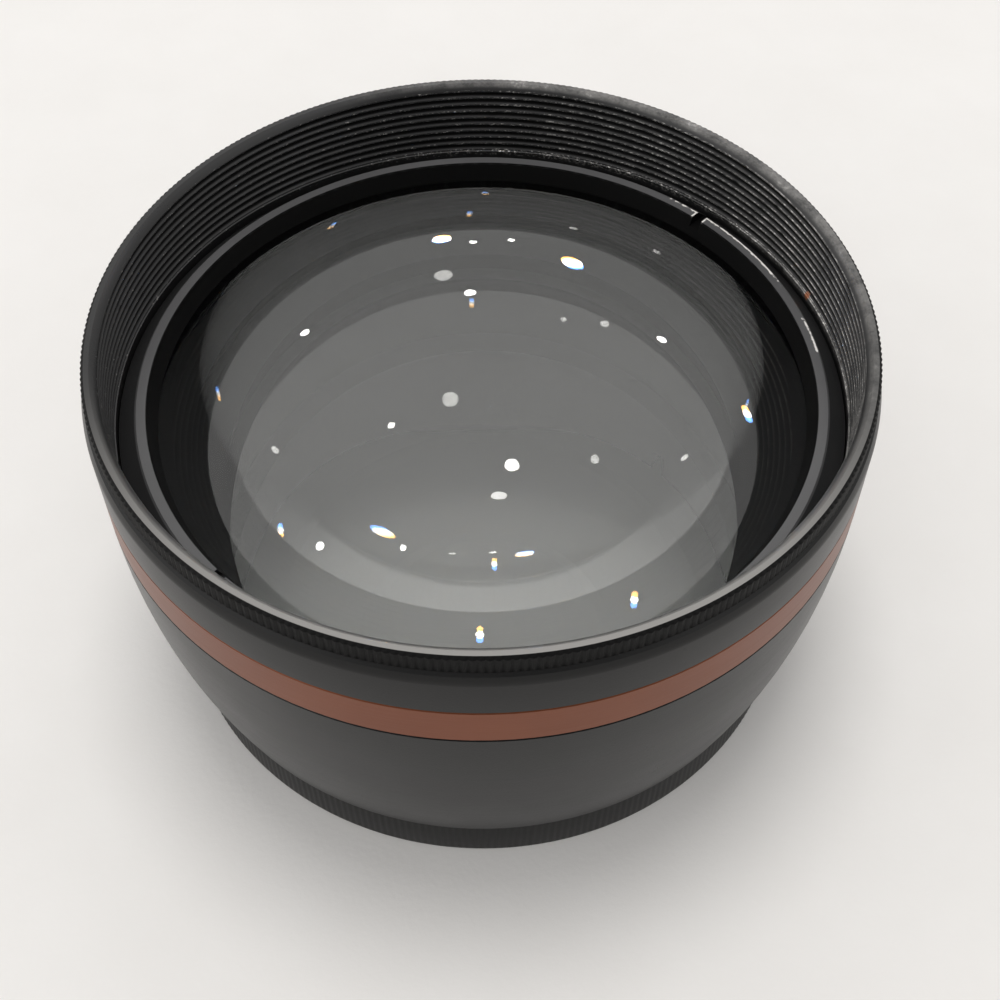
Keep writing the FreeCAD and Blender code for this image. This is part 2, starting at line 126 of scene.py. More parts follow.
# %% [markdown]
# ## Writing shader maths as sums
#
# A procedural finish is a small calculation that is done at every point of the surface. Wiring it up one
# Math node at a time is slow to write and hard to read, so the class below wraps one output socket and
# turns +, -, * and / into Math nodes. Written the other way round, as in 1 - mask, they work too.

# %% A socket that can be calculated with
class Wire:
    """One output socket of a shader, usable in Python arithmetic."""

    def __init__(self, finish, socket):
        self.finish = finish
        self.socket = socket

    def maths(self, operation, *others, clamp=False):
        inputs = dict(enumerate((self,) + others))
        settings = {"operation": operation, "use_clamp": clamp}
        return self.finish.node("ShaderNodeMath", settings, inputs)("Value")

    def __add__(self, other):
        return self.maths("ADD", other)

    __radd__ = __add__

    def __mul__(self, other):
        return self.maths("MULTIPLY", other)

    __rmul__ = __mul__

    def __sub__(self, other):
        return self.maths("SUBTRACT", other)

    def __rsub__(self, other):
        return self * -1 + other

    def __truediv__(self, other):
        return self.maths("DIVIDE", other)

    def __rtruediv__(self, other):
        return self.maths("POWER", -1) * other

    def between(self, low, high):
        """Rises smoothly from 0 at low to 1 at high, or falls if high is the smaller."""
        if high < low:
            return 1 - self.between(high, low)
        inputs = {"Value": self, "From Min": low, "From Max": high, "To Min": 0.0, "To Max": 1.0}
        smooth = {"interpolation_type": "SMOOTHSTEP"}
        return self.finish.node("ShaderNodeMapRange", smooth, inputs)("Result")


print("Wire understands + - * / and their reflected forms")

# %% [markdown]
# ## A finish that wires its own nodes
#
# Nearly every node comes from Finish.node. It takes the node's type, then its settings, which are set
# first, and then its inputs, which may be plain values or Wires. The short methods after it only name
# the few calculations that the finishes of this lens share.

# %% The Finish class
class Finish:
    """A material that starts as one Principled surface."""

    def __init__(self, name):
        self.material = bpy.data.materials.new(name)
        self.material.use_nodes = True
        self.tree = self.material.node_tree
        self.surface = self.tree.nodes["Principled BSDF"]
        self.last = self.tree.nodes["Material Output"]
        self.result = Wire(self, self.surface.outputs[0])

    def node(self, kind, settings=None, inputs=None):
        """Adds a node and returns a function that hands out its outputs as Wires."""
        made = self.tree.nodes.new(kind)
        for key, value in (settings or {}).items():
            setattr(made, key, value)
        for key, value in (inputs or {}).items():
            self.plug(made.inputs[key], value)
        return lambda output: Wire(self, made.outputs[output])

    def plug(self, socket, value):
        """Gives a socket a link if value is a Wire, and a plain value if not."""
        if isinstance(value, Wire):
            self.tree.links.new(value.socket, socket)
        elif socket.type == "RGBA":
            socket.default_value = (*value, 1.0)
        else:
            socket.default_value = value

    def set(self, **values):
        """Sets the surface's sockets, written as base_color=..., roughness=..."""
        for key, value in values.items():
            name = key.replace("_", " ").title().replace("Ior", "IOR")
            self.plug(self.surface.inputs[name], value)

    def blend(self, mask, values):
        """Lays another surface over what is there, where mask is 1."""
        first = self.surface
        self.surface = self.tree.nodes.new("ShaderNodeBsdfPrincipled")
        self.set(**values)
        inputs = {"Fac": mask, 1: self.result, 2: Wire(self, self.surface.outputs[0])}
        self.result = self.node("ShaderNodeMixShader", None, inputs)("Shader")
        self.plug(self.last.inputs["Surface"], self.result)
        self.surface = first

    def where(self, stretch=(1, 1, 1)):
        """The point on the surface in millimetres, stretched along x, y and z."""
        found = self.node("ShaderNodeTexCoord")("Object")
        factor = tuple(part / MM for part in stretch)
        return self.node("ShaderNodeVectorMath", {"operation": "MULTIPLY"}, {0: found, 1: factor})("Vector")

    def parts(self, vector):
        """The x, y and z of a vector."""
        made = self.node("ShaderNodeSeparateXYZ", None, {"Vector": vector})
        return made("X"), made("Y"), made("Z")

    def around(self):
        """Radius and height of the point in millimetres, and its angle round the axis in radians."""
        x, y, z = self.parts(self.where())
        radius = (x * x + y * y).maths("SQRT")
        return radius, z, y.maths("ARCTAN2", x)

    def noise(self, vector, size, detail=3.0, roughness=0.55):
        """Cloudy noise between 0 and 1, with blotches about size millimetres across."""
        inputs = {"Vector": vector, "Scale": 1.0 / size, "Detail": detail, "Roughness": roughness}
        return self.node("ShaderNodeTexNoise", {"noise_dimensions": "3D"}, inputs)("Fac")

    def mix(self, factor, first, second):
        """The colour first where factor is 0, and second where it is 1."""
        made = self.node("ShaderNodeMix", {"data_type": "RGBA"}, {0: factor, 6: first, 7: second})
        return made(2)

    def vector(self, x, y, z):
        """A vector made of three values."""
        return self.node("ShaderNodeCombineXYZ", None, {"X": x, "Y": y, "Z": z})("Vector")

    def bump(self, height, millimetres, strength=1.0):
        """A normal that tilts as if the surface rose by height times millimetres."""
        inputs = {"Height": height, "Distance": millimetres * MM, "Strength": strength}
        return self.node("ShaderNodeBump", None, inputs)("Normal")


print("Finish builds materials")

# %% [markdown]
# ## Turned shapes
#
# Nearly every part of a lens is turned, so one helper makes them all: it takes a half section as rows of
# radius and height and sweeps it round the axis. The rows run up the outside, over the top and down the
# inside, which makes the faces look outwards. A shape function may push single points outwards, and
# that is how the knurls and the small dents are made in real geometry instead of being painted on.

# %% The Turning class
class Turning:
    """Collects swept bands and makes one mesh object of them."""

    def __init__(self):
        self.points = []
        self.faces = []
        self.kinds = []

    def band(self, rows, steps, kind=0, shape=None):
        """Sweeps rows of (radius, height) round the axis. A radius of 0 becomes one point."""
        rings = []
        for number, (radius, height) in enumerate(rows):
            ring = []
            if radius == 0:
                ring = [len(self.points)] * steps
                self.points.append((0.0, 0.0, height * MM))
            else:
                for step in range(steps):
                    angle = 2 * math.pi * step / steps
                    reach = (radius + (shape(number, angle) if shape else 0)) * MM
                    ring.append(len(self.points))
                    self.points.append((reach * math.cos(angle), reach * math.sin(angle), height * MM))
            rings.append(ring)
        for low, high in zip(rings, rings[1:]):
            for step in range(steps):
                after = (step + 1) % steps
                corners = [low[step], low[after], high[after], high[step]]
                self.faces.append(list(dict.fromkeys(corners)))
                self.kinds.append(kind)
        return self

    def make(self, name, finishes, sharp=30):
        """The object, with smooth faces that break where they meet at more than sharp degrees."""
        mesh = bpy.data.meshes.new(name)
        mesh.from_pydata(self.points, [], self.faces)
        mesh.polygons.foreach_set("material_index", self.kinds)
        for finish in finishes:
            mesh.materials.append(finish.material)
        mesh.shade_smooth()
        mesh.set_sharp_from_angle(angle=math.radians(sharp))
        made = bpy.data.objects.new(name, mesh)
        bpy.context.collection.objects.link(made)
        print(f"{name}: {len(self.faces)} faces")
        return made


def arc(radius, centre, start, end, count, below=False):
    """Rows on a spherical face: its radius, its centre's height, and from which reach to which."""
    rows = []
    for number in range(count + 1):
        reach = start + (end - start) * number / count
        height = math.sqrt(radius * radius - reach * reach)
        rows.append((reach, centre - height if below else centre + height))
    return rows


def stand_in(piece, slot, *nodes):
    """Seats a piece on the lens in place of the solids that it replaces."""
    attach(piece, "root")
    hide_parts(*nodes)


# %% [markdown]
# ## Black anodising
#
# Anodised aluminium is dyed black through a thin hard skin. The metal under it doesn't show, so it is a
# dark non-metal with a satin gloss: nearly black seen square on, and pale where it is seen at a glancing
# angle. It is never quite even. Large soft clouds change its gloss a little, and a fine grain from the
# blasting before the dye breaks up reflections. Where edges are rubbed, bright aluminium comes through.

# %% Black anodising
# Besides real rubbing, the first mask also paints highlights and a reflection, and the second paints shade
# into grooves, bevels and notches.
def anodised(name, gloss=0.38, grain=0.006, wear_and_highlight=None, tone=0.013, shade_mask=None, sheen=0.4, bright=1.0):
    """Satin black. Its two mask functions take the finish: the first returns exposed metal, which also
    paints highlights on the ring and a reflection on the near rim; the second returns painted shade.

    bright says how much of a mirror the exposed metal is: 1 when polished, near 0 for a pale diffuse
    colour, as in the ring's painted highlights.
    """
    finish = Finish(name)
    finish.set(specular_ior_level=sheen)
    spot = finish.where()
    clouds = finish.noise(spot, 9.0, detail=4)
    fine = finish.noise(spot, 0.16, detail=2)
    lines = finish.noise(finish.where((0.12, 0.12, 3.0)), 1.2, detail=5, roughness=0.7)
    dark = finish.mix(clouds, (tone, tone, tone * 1.04), (tone * 1.7, tone * 1.7, tone * 1.75))
    rough = gloss + (clouds - 0.5) * 0.12 + (lines - 0.5) * 0.08 + (fine - 0.5) * 0.06
    if wear_and_highlight is None:
        finish.set(base_color=dark, roughness=rough)
    else:
        worn_and_highlight = wear_and_highlight(finish)
        pale = 0.92 - 0.30 * bright
        finish.set(
            base_color=finish.mix(worn_and_highlight, dark, (pale, pale * 0.975, pale * 0.94)),
            metallic=worn_and_highlight * bright,
            roughness=finish.mix(worn_and_highlight, finish.vector(rough, rough, rough), (0.3, 0.3, 0.3)),
        )
    finish.set(normal=finish.bump(fine, grain))
    # Painted shade: where the second mask is 1, a dull near-black with little sheen is laid over the
    # surface.
    if shade_mask is not None:
        shade_layer = {"base_color": (0.003, 0.003, 0.003), "roughness": 0.6, "specular_ior_level": 0.08}
        finish.blend(shade_mask(finish), shade_layer)
    return finish


print("black anodising is ready")

# %% [markdown]
# ## The front barrel
#
# The mouth of the lens is what the eye meets first. Its lip carries a fine straight knurl of 336 teeth,
# and its inner wall is cut with ribs, 0.75 mm apart, which are a filter thread and a light trap in one.
# Handling has polished the crests of the ribs and the edge of the lip, more on the far right than
# elsewhere, and a few knocks have dented them. A thin polish on the near side of the rim's face is a
# painted reflection, and the bottoms of the grooves get painted shade. The section below follows the
# solid, with the knurl and the dents added.

# %% Wear at the mouth
TEETH = 336
PITCH = 0.75
CREST = ring.radius + 0.2
ROOT = CREST + 0.4
THREAD_END = RIM_TOP - 7.48
WORN_SIDE, SCUFFED_SIDE, NEAR_SIDE = 0.75, 0.12, -math.pi / 2


def mouth_wear(finish):
    """Exposed metal in specks on the rib crests and patches on the rim, mostly on one side, and a thin
    polish on the rim's near side, which is a painted reflection.
    """
    radius, height, angle = finish.around()
    patchy = finish.noise(finish.where(), 3.0, detail=6, roughness=0.7)
    specks = finish.noise(finish.where((1, 1, 2)), 0.3, detail=4, roughness=0.7)
    side = (angle - WORN_SIDE).maths("COSINE").between(0.2, 1.0)
    above_end = height.between(THREAD_END - 0.62, THREAD_END - 0.02)
    inside = radius.between(CREST + 0.07, CREST + 0.01) * above_end
    on_crest = inside * (specks + side * 0.10 + (patchy - 0.5) * 0.25).between(0.60, 0.74)
    near_side = (angle - NEAR_SIDE).maths("COSINE").between(0.1, 0.95)
    rim_face = height.between(RIM_TOP - 0.5, RIM_TOP - 0.02) * radius.between(CREST + 0.1, CREST + 0.3)
    # A painted reflection: a thin polish on the rim's face, strongest on the side towards the camera.
    near_side_reflection = rim_face * near_side * 0.4
    scuff = (angle - SCUFFED_SIDE).maths("COSINE").between(0.72, 0.98)
    scuffed = scuff * inside * patchy.between(0.3, 0.65)
    chipped = rim_face * (patchy + specks * 0.3).between(0.72, 0.86) * side * 0.35
    dusty = rim_face * (patchy * 0.7 + specks * 0.3).between(0.30, 0.62) * side * 0.30
    return (on_crest * 0.85 + near_side_reflection + chipped + dusty + scuffed * 0.4).maths("MINIMUM", 1.0)


def groove_shade(finish):
    """The bottoms of the grooves, which get painted shade: a dull near-black with little sheen."""
    radius, height, angle = finish.around()
    return radius.between(CREST + 0.06, CREST + 0.24) * height.between(RIM_TOP - 0.5, RIM_TOP - 0.7)


CHIP_ANGLE = math.radians(19.4)
CHIP = (CREST * math.cos(CHIP_ANGLE), CREST * math.sin(CHIP_ANGLE), THREAD_END + 0.03)


def copper_chip(finish):
    """One small fleck of copper colour that sticks to the end of the thread."""
    uneven = finish.noise(finish.where(), 0.3) * 0.4
    apart = finish.node("ShaderNodeVectorMath", {"operation": "DISTANCE"}, {0: finish.where(), 1: CHIP})
    return (apart("Value") + uneven).between(0.62, 0.42)


mouth_black = anodised("black_anodised_mouth", gloss=0.3, wear_and_highlight=mouth_wear, shade_mask=groove_shade, tone=0.012)
mouth_black.blend(copper_chip(mouth_black), {"base_color": (0.42, 0.15, 0.07), "roughness": 0.5})
# The knurl's finish is darker and has little sheen: partly a dull finish, partly painted shade for its
# grooves.
knurl_black_and_shade = anodised("black_anodised_knurl_and_shade", gloss=0.55, grain=0.01, tone=0.003, sheen=0.12)
casing_black = anodised("black_anodised_casing", gloss=0.31, tone=0.004, sheen=0.27)
foot_black = anodised("black_anodised_foot", gloss=0.4, tone=0.003, sheen=0.3)
print("rib crests at", round(CREST, 2), "mm in radius, down to", round(THREAD_END, 2), "mm high")

# %% Knurled lip and outer wall
LIP = WALL - 0.55
LIP_FOOT = RIM_TOP - 1.88
KNURL_DEPTH = 0.12
SHOULDER = [(0.0, 2.90), (0.02, 2.74), (0.08, 2.54), (0.18, 2.30), (0.28, 2.08), (0.44, 1.96)]


def tooth(angle, teeth):
    """Height of a knurl at an angle, from 0 in a valley to 1 on a tooth."""
    place = (angle * teeth / (2 * math.pi)) % 1.0
    return 1.0 - abs(2 * place - 1) ** 1.6


wall_rows = [(WALL - 0.12, accent.top), (WALL, accent.top + 0.12)]
wall_rows += [(WALL - inwards, RIM_TOP - down) for inwards, down in SHOULDER]
wall_rows += [(LIP, LIP_FOOT)]
lip_rows = [
    (LIP, LIP_FOOT), (LIP, LIP_FOOT + 0.12), (LIP, RIM_TOP - 0.24), (LIP - 0.09, RIM_TOP - 0.08),
    (LIP - 0.17, RIM_TOP),
]
lip_waves = [0, 0.9, 0.9, 0.7, 0.2]


def lip_shape(row, angle):
    """The knurl fades out at both ends of the lip."""
    return KNURL_DEPTH * lip_waves[row] * tooth(angle, TEETH)


MOUTH, OUTSIDE, KNURL = 0, 1, 2
front_barrel = Turning().band(wall_rows, TEETH * 4, kind=OUTSIDE)
front_barrel.band(lip_rows, TEETH * 4, kind=KNURL, shape=lip_shape)
print("lip of", TEETH * 4, "columns")

# %% Rim, ribs and the hidden inside
random.seed(7)
DENTS = [
    (random.uniform(0, 2 * math.pi), random.uniform(THREAD_END - 0.02, RIM_TOP - 0.5),
     random.uniform(0.2, 0.6), random.uniform(0.02, 0.06))
    for _ in range(46)
]
DENTS += [(0.72, 33.4, 0.4, 0.08), (0.55, 34.2, 0.3, 0.07), (1.05, 35.2, 0.4, 0.09)]
GROOVES = 9
RIM_ROWS = 4
GROOVE = [(0.0, 0.33), (0.04, 0.28), (0.36, 0.04), (0.4, 0.0), (0.36, -0.04), (0.04, -0.28), (0.0, -0.33)]
rib_rows = [
    (LIP - 0.17, RIM_TOP), (ROOT + 0.16, RIM_TOP), (ROOT + 0.10, RIM_TOP - 0.04),
    (CREST + 0.04, RIM_TOP - 0.50), (CREST, RIM_TOP - 0.57),
]
for number in range(GROOVES):
    middle = RIM_TOP - 0.98 - PITCH * number
    rib_rows += [(CREST + outwards, middle + above) for outwards, above in GROOVE]
rib_rows += [(CREST, THREAD_END + 0.06), (CREST - 0.1, THREAD_END)]


def rib_shape(row, angle):
    """Dents only press crests back into the metal, away from the axis."""
    radius, height = rib_rows[row]
    if radius > CREST + 0.1 or row < RIM_ROWS:
        return 0
    push = 0
    for where, level, width, depth in DENTS:
        along = (angle - where) * CREST / width
        across = (height - level) / 0.4
        if abs(along) < 3 and abs(across) < 3:
            push += depth * math.exp(-along * along - across * across)
    return push


SEAT = barrel.foot + 1.0
SEAT_BORE = GLASS - 2.0
RING_FLOOR = ring.foot - 0.1
LENS_BORE = GLASS + 0.05
NOSE = LENS_BORE + 1.0
SPIGOT = WALL - 0.8
front_barrel.band(rib_rows, 960, kind=MOUTH, shape=rib_shape)
front_barrel.band([
    (CREST - 0.1, THREAD_END), (CREST - 0.1, RING_FLOOR), (LENS_BORE, RING_FLOOR), (LENS_BORE, SEAT),
    (SEAT_BORE, SEAT), (SEAT_BORE, barrel.foot), (NOSE, barrel.foot), (NOSE, barrel.foot + 1.7),
    (SPIGOT - 0.7, barrel.foot + 1.7), (SPIGOT - 0.7, accent.foot), (SPIGOT, accent.foot),
    (SPIGOT, accent.top), (WALL - 0.12, accent.top),
], 180)
front_barrel_dressed = front_barrel.make(
    "front_barrel_dressed", [mouth_black, casing_black, knurl_black_and_shade], sharp=24)
stand_in(front_barrel_dressed, "black_anodised", "front_barrel")

# %% [markdown]
# ## The casing
#
# The bowed barrel is one large quiet surface, so its gloss does all the work: it mirrors the floor at a
# glancing angle and fades to black where it faces the viewer. The solid is smooth enough to keep, and
# only gets its finish. The retaining ring has a greyer base colour. Its bevel, its slope and its
# notches get painted shade, and pale marks along the edge of its face and at a notch are painted
# highlights, partly on scraped metal.

# %% Main barrel and retaining ring
RING_EDGE = ring.radius - 1.65
RING_FACE = 0.8
NOTCH = math.radians(44.6)
HALF_NOTCH = 0.5


def ring_wear_and_highlight(finish):
    """Painted highlights, partly on metal scraped by a spanner: a pale edge between the ring's face and its
    slope, and pale lips at a notch.
    """
    radius, height, angle = finish.around()
    degrees = angle * (180 / math.pi)
    specks = finish.noise(finish.where(), 0.35, detail=4, roughness=0.7)
    width = (specks - 0.5) * 0.5
    inside = (radius + width).between(RING_EDGE - 0.19, RING_EDGE - 0.12)
    outside = (radius - width).between(RING_EDGE + 0.04, RING_EDGE - 0.04)
    beside_notch = degrees.between(20, 27) * degrees.between(56, 47)
    # The two arcs where the painted highlight along the face's edge is strongest.
    further_on = degrees.between(4, 6) * degrees.between(15, 12)
    highlight_arcs = beside_notch + further_on
    broken = (specks + highlight_arcs * 0.42).between(0.74, 0.84)
    edge = inside * outside * broken * height.between(ring.top - 0.7, ring.top - 0.3)
    sideways = (angle - NOTCH).maths("SINE").maths("ABSOLUTE") * radius
    lips = sideways.between(0.74, 0.64) * sideways.between(HALF_NOTCH + 0.005, HALF_NOTCH + 0.03)
    near_notch = degrees.between(40, 42) * radius.between(RING_EDGE + 0.5, RING_EDGE + 0.1)
    return (edge + lips * near_notch * specks.between(0.38, 0.5)).maths("MINIMUM", 1.0)


def ring_bevel_shade(finish):
    """Painted shade: the inner bevel over the glass, the outer slope and the notches are made blacker than
    the face.
    """
    radius, height, angle = finish.around()
    sideways = (angle - NOTCH).maths("SINE").maths("ABSOLUTE") * radius
    slot = sideways.between(HALF_NOTCH + 0.03, HALF_NOTCH + 0.01)
    bevel = radius.between(RING_EDGE - RING_FACE + 0.05, RING_EDGE - RING_FACE - 0.02)
    slope = radius.between(RING_EDGE + 0.1, RING_EDGE + 0.2) * 0.7
    return (bevel + slope).maths("MAXIMUM", slot)


ring_black = anodised(
    "black_anodised_ring", gloss=0.32, grain=0.008, wear_and_highlight=ring_wear_and_highlight, tone=0.07, shade_mask=ring_bevel_shade, bright=0.1)
inner_black = anodised("black_anodised_inner", gloss=0.5, grain=0.01)


def dress(node, finish):
    """Puts a finish on a solid that keeps its own shape."""
    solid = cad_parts[node]
    solid.data.materials.clear()
    solid.data.materials.append(finish.material)
    print(node, "wears", finish.material.name)


dress("main_barrel", casing_black)
dress("front_retaining_ring", ring_black)
dress("rear_cell", inner_black)
dress("rear_retaining_ring", inner_black)

# %% [markdown]
# ## The accent ring
#
# The ring is anodised too, but its dye is a copper orange that lets some of the metal shine through, so
# it is part metallic. Its lathe marks run round it, and draw out its highlight.

# %% Copper-orange anodising
copper = Finish("copper_anodised")
copper_clouds = copper.noise(copper.where(), 6.0, detail=4)
copper_lines = copper.noise(copper.where((0.1, 0.1, 6.0)), 1.0, detail=4, roughness=0.7)
copper.set(
    base_color=copper.mix(copper_clouds, (0.150, 0.040, 0.013), (0.190, 0.053, 0.019)),
    metallic=0.5,
    roughness=0.36 + (copper_lines - 0.5) * 0.16,
    normal=copper.bump(copper_lines, 0.006),
)
dress("accent_ring", copper)

# %% [markdown]
# ## The knurled foot
#
# The foot ring carries a finer, flatter knurl than the lip, so that fingers can turn the lens on its
# thread. It is made again here with real teeth. Its inside keeps the solid's thread.

# %% Mount ring
FOOT_TEETH = 300
FOOT_KNURL = 0.08
BAND = mount.radius - FOOT_KNURL
CHAMFER = 0.17
MOUNT_CREST = 25.60
MOUNT_ROOT = MOUNT_CREST + 0.4
FLANGE = 22.40
FLANGE_FOOT = 2.60
REGISTER = 27.55
foot_rows = [
    (MOUNT_CREST + 0.3, 0.0), (BAND - CHAMFER, 0.0), (BAND, CHAMFER), (BAND, 0.50),
    (BAND, mount.top - 0.50), (BAND, mount.top - 0.19), (BAND - CHAMFER, mount.top),
]
KNURLED_ROWS = (3, 4)


def foot_shape(row, angle):
    """The foot's teeth, between its two plain edges."""
    return FOOT_KNURL * tooth(angle, FOOT_TEETH) if row in KNURLED_ROWS else 0


mount_ring = Turning().band(foot_rows, FOOT_TEETH * 4, shape=foot_shape)
inner_foot = [
    (BAND - CHAMFER, mount.top), (REGISTER, mount.top), (REGISTER, casing.foot), (FLANGE, casing.foot),
    (FLANGE, FLANGE_FOOT), (MOUNT_CREST, FLANGE_FOOT),
]
for number in range(3):
    middle = FLANGE_FOOT - 0.35 - PITCH * number
    inner_foot += [(MOUNT_CREST, middle + 0.3), (MOUNT_ROOT, middle), (MOUNT_CREST, middle - 0.3)]
mount_ring.band(inner_foot + [(MOUNT_CREST, 0.30), (MOUNT_CREST + 0.3, 0.0)], 300)
mount_ring_dressed = mount_ring.make("mount_ring_dressed", [foot_black], sharp=24)
stand_in(mount_ring_dressed, "black_anodised", "mount_ring")

# %% [markdown]
# ## Glass
#
# A lens shows its glass by what the glass does to light: each polished face mirrors a few percent of the
# room and bends the rest, so that one sees into the barrel. That only looks right on a truly smooth
# dome, so the faces are made again here with many rings. The two elements of a cemented pair have no
# air between them, so the joint hardly shows: each pair is drawn as one body of glass, with the front
# element carrying the front face and the rear element the back face. The ground edges are painted
# black, as lens makers do against stray light.

# %% Clear glass and edge paint
REFRACTION = 1.52
clear_glass = Finish("coated_glass")
clear_glass.set(base_color=(0.97, 0.98, 0.97), roughness=0.0, ior=REFRACTION, transmission_weight=1.0)

edge_paint = Finish("edge_paint")
edge_grain = edge_paint.noise(edge_paint.where(), 0.5, detail=3)
edge_paint.set(
    base_color=edge_paint.mix(edge_grain, (0.006, 0.006, 0.006), (0.012, 0.012, 0.012)),
    roughness=0.55 + edge_grain * 0.2,
)

# The flat ground rim of the front pair is a lighter grey, painted light: it stands in for the lit seat seen
# through the glass.
ground_rim_painted_light = Finish("ground_rim_painted_light")
ground_grain = ground_rim_painted_light.noise(ground_rim_painted_light.where(), 0.4, detail=3)
ground_rim_painted_light.set(
    base_color=ground_rim_painted_light.mix(ground_grain, (0.06, 0.06, 0.062), (0.10, 0.10, 0.102)),
    roughness=0.5 + ground_grain * 0.2,
)
print("glass with a refractive index of", REFRACTION)

# %% Front pair
CLEAR, EDGE, GROUND_RIM = 0, 1, 2
dome_curve = 57.0
dome_rows = arc(dome_curve, crown.top - dome_curve, GLASS, 0.0, 110)
front_crown = Turning()
front_crown.band([(GLASS, flint.top), dome_rows[0]], 320, kind=EDGE)
front_crown.band(dome_rows, 320, kind=CLEAR)
front_crown_glass = front_crown.make("front_crown_glass", [clear_glass, edge_paint])
stand_in(front_crown_glass, "coated_glass", "front_crown")

flint_curve = 160.0
flint_centre = SEAT + math.sqrt(flint_curve ** 2 - SEAT_BORE ** 2)
front_flint = Turning()
front_flint.band(arc(flint_curve, flint_centre, 0.0, SEAT_BORE, 60, below=True), 320, kind=CLEAR)
front_flint.band([(SEAT_BORE, SEAT), (GLASS, SEAT)], 320, kind=GROUND_RIM)
front_flint.band([(GLASS, SEAT), (GLASS, flint.top)], 320, kind=EDGE)
front_flint_glass = front_flint.make("front_flint_glass", [clear_glass, edge_paint, ground_rim_painted_light])
stand_in(front_flint_glass, "coated_glass", "front_flint")

# %% Rear pair
def fall(curve, reach):
    """How far a spherical face of radius curve falls back at a reach."""
    return curve - math.sqrt(curve * curve - reach * reach)


rear = measured("rear_negative")
rear_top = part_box("rear_negative")[1].z / MM
rear_curve = 60.0
rear_clear = rear.radius - 0.9
rear_centre = rear_top - fall(rear_curve, rear_clear) + rear_curve
rear_negative = Turning()
rear_negative.band([(rear.radius, rear.foot), (rear.radius, rear_top)], 240, kind=EDGE)
rear_negative.band([(rear.radius, rear_top), (rear_clear, rear_top)], 240, kind=EDGE)
rear_negative.band(arc(rear_curve, rear_centre, rear_clear, 0.0, 60, below=True), 240, kind=CLEAR)
rear_negative_glass = rear_negative.make("rear_negative_glass", [clear_glass, edge_paint])
stand_in(rear_negative_glass, "coated_glass", "rear_negative")

back_curve = 120.0
back_bore = rear.radius - 1.3
back_seat = measured("rear_positive").foot
back_vertex = back_seat + fall(back_curve, back_bore)
rear_positive = Turning()
rear_positive.band(arc(back_curve, back_vertex - back_curve, 0.0, back_bore, 50), 240, kind=CLEAR)
rear_positive.band([(back_bore, back_seat), (rear.radius, back_seat)], 240, kind=EDGE)
rear_positive.band([(rear.radius, back_seat), (rear.radius, rear.foot)], 240, kind=EDGE)
rear_positive_glass = rear_positive.make("rear_positive_glass", [clear_glass, edge_paint])
stand_in(rear_positive_glass, "coated_glass", "rear_positive")
print("rear face of glass at", round(back_vertex, 2), "mm")

# %% [markdown]
# ## Light traps, shim and screws
#
# Between the two groups sits a stepped tube in dead matte black, which swallows light that would wash
# out the picture. The shim is plain rolled brass and the screws are blackened steel, which turns grey
# where a driver has touched it.

# %% Small pieces
trap_black = Finish("trap_black")
trap_grain = trap_black.noise(trap_black.where(), 0.25, detail=4)
trap_black.set(
    base_color=trap_black.mix(trap_grain, (0.006, 0.006, 0.0065), (0.014, 0.014, 0.015)),
    roughness=0.75 + trap_grain * 0.15,
    normal=trap_black.bump(trap_grain, 0.006),
)
dress("baffle_tube", trap_black)
dress("stop_washer", trap_black)

shim_brass = Finish("shim_brass")
shim_grain = shim_brass.noise(shim_brass.where((1, 0.1, 1)), 0.6, detail=4)
shim_brass.set(
    base_color=shim_brass.mix(shim_grain, (0.60, 0.43, 0.17), (0.72, 0.54, 0.24)),
    metallic=1.0,
    roughness=0.28 + shim_grain * 0.2,
)
dress("cell_shim", shim_brass)

screw_black = Finish("blackened_steel")
screw_wear = screw_black.noise(screw_black.where(), 0.5, detail=5, roughness=0.7)
screw_black.set(
    base_color=screw_black.mix(screw_wear.between(0.5, 0.75), (0.03, 0.03, 0.032), (0.25, 0.25, 0.25)),
    metallic=1.0,
    roughness=0.45 - screw_wear * 0.15,
)
dress("mount_ring_screws", screw_black)

# %% [markdown]
# ## A floor to stand on
#
# The lens stands on a plain pale floor, with the faint mottling of paper fibre so that it isn't dead
# flat. It is stage, not part of the lens.

# %% Floor
paper = Finish("paper")
fibre = paper.noise(paper.where(), 14.0, detail=6, roughness=0.6)
tooth_of_paper = paper.noise(paper.where(), 0.7, detail=3)
paper.set(
    base_color=paper.mix(fibre, (0.81, 0.795, 0.78), (0.87, 0.86, 0.85)),
    roughness=0.85,
    normal=paper.bump(tooth_of_paper, 0.05, 0.4),
)
floor_mesh = bpy.data.meshes.new("floor")
side = 3.0
floor_corners = [(-side, -side, 0), (side, -side, 0), (side, side, 0), (-side, side, 0)]
floor_mesh.from_pydata(floor_corners, [], [(0, 1, 2, 3)])
floor_mesh.materials.append(paper.material)
floor = bpy.data.objects.new("floor", floor_mesh)
bpy.context.collection.objects.link(floor)
print("floor", 2 * side, "m square")

# %% [markdown]
# ## Light
#
# The light is soft and plain, and most of it comes from the world, a pale dome. Matte surfaces are lit a
# little more along the line of sight and from the left. What mirrors and glass see of the dome is
# brighter overhead and on the left, and dim towards the viewer. One large lamp overhead gives the shadow
# its direction, and is hidden from mirrors and glass, where its disk would show. A few small round
# lamps, seen only in reflections, put the sparks into the glass that make it read as glass.

# %% World
world = bpy.data.worlds.new("soft_room")
bpy.context.scene.world = world
world.use_nodes = True


class Sky(Finish):
    """The same wiring tools, for the world's background."""

    def __init__(self, world):
        self.tree = world.node_tree
        self.surface = self.tree.nodes["Background"]
        self.last = self.tree.nodes["World Output"]


